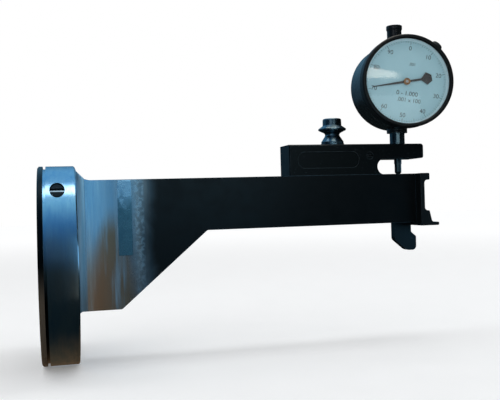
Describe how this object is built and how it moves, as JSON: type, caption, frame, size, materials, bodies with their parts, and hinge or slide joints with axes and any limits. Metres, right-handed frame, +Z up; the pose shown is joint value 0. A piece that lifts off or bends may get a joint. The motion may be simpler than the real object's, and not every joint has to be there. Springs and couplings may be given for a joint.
{
  "type": "flange mounted depth gauge with dial indicator",
  "caption": "Depth gauge on a round steel flange, with a flat arm carrying a dial indicator that reads a sliding hooked measuring blade at the arm's end.",
  "frame": {"origin": "centre of the flange's flat seat face", "axes": "+X out from the flange along the arm, +Z up towards the dial indicator, -Y towards the dial's front"},
  "size_m": [0.2523, 0.1128, 0.2],
  "materials": {
    "frame_steel": "ground bright at the flange and web, black oxide along the arm",
    "black_steel": "satin black oxide",
    "grey_steel": "dull grey hardened steel",
    "bright_steel": "polished steel",
    "screw_steel": "dark oiled steel",
    "brass": "machined brass",
    "dial_white": "white enamel with black graduations and plain numerals",
    "pointer_black": "matte black",
    "clear_crystal": "clear flat crystal"
  },
  "bodies": {
    "gauge": {"gauge_frame": "frame_steel", "flange_set_screw": "screw_steel", "stop_pin": "bright_steel", "end_shoe": "black_steel", "end_shoe_screws": "screw_steel", "holder_block": "black_steel", "holder_dowels": "bright_steel", "pin_lock_screw": "screw_steel", "stem_clamp_screw": "screw_steel", "knob_stud": "screw_steel", "knob_washer": "bright_steel", "indicator_case": "black_steel", "case_cover": "black_steel", "case_cover_screws": "screw_steel", "bezel_clamp_plate": "black_steel", "indicator_stem": "bright_steel", "lower_bushing": "brass", "upper_bushing": "brass", "dust_cap": "black_steel", "movement_plate": "brass", "movement_screws": "screw_steel", "centre_cock": "brass", "rear_bridge": "brass", "movement_pillars": "brass", "spindle_guide": "brass", "spring_post": "bright_steel", "spindle_spring": "bright_steel"},
    "blade": {"measuring_blade": "grey_steel", "anvil_button": "bright_steel"},
    "spindle": {"spindle": "bright_steel", "contact_point": "bright_steel", "guide_pin": "bright_steel"},
    "pinion_shaft": {"rack_pinion": "bright_steel", "gear_wheel": "brass"},
    "pointer_shaft": {"centre_arbor": "bright_steel", "pointer": "pointer_black", "pointer_hub": "brass"},
    "bezel": {"bezel_ring": "black_steel", "crystal": "clear_crystal", "dial_face": "dial_white"},
    "bezel_clamp": {"bezel_clamp_screw": "black_steel"},
    "knob": {"clamp_knob": "bright_steel"}
  },
  "joints": [
    {"name": "blade_slide", "type": "slide", "parent": "gauge", "child": "blade", "axis": [0, 0, 1], "range_m": [0, 0.004], "stiffness_N_per_m": 60, "springref_m": -0.01},
    {"name": "spindle_slide", "type": "slide", "parent": "gauge", "child": "spindle", "axis": [0, 0, 1], "range_m": [0, 0.004], "deforming": ["spindle_spring"]},
    {"name": "rack_pinion_turn", "type": "hinge", "parent": "gauge", "child": "pinion_shaft", "pos_m": [0.22027, 0.00056, 0.09578], "axis": [0.1564, 0.9877, 0], "range_deg": [-114, 0]},
    {"name": "pointer_turn", "type": "hinge", "parent": "gauge", "child": "pointer_shaft", "pos_m": [0.2238, 0, 0.1041], "axis": [0.1564, 0.9877, 0], "range_deg": [0, 568]},
    {"name": "bezel_turn", "type": "hinge", "parent": "gauge", "child": "bezel", "pos_m": [0.22017, -0.02291, 0.1041], "axis": [0.1564, 0.9877, 0], "continuous": true},
    {"name": "bezel_clamp_turn", "type": "hinge", "parent": "gauge", "child": "bezel_clamp", "pos_m": [0.24213, -0.01748, 0.12568], "axis": [0.6861, -0.1087, 0.7193], "range_deg": [0, 90]},
    {"name": "clamp_knob_turn", "type": "hinge", "parent": "gauge", "child": "knob", "pos_m": [0.1792, 0, 0.072], "axis": [0, 0, 1], "range_deg": [0, 180]}
  ],
  "couplings": [
    {"joint": "spindle_slide", "follows": "blade_slide", "ratio": 1},
    {"joint": "rack_pinion_turn", "follows": "blade_slide", "rad_per_m": -494.74},
    {"joint": "pointer_turn", "follows": "blade_slide", "rad_per_m": 2473.7}
  ]
}
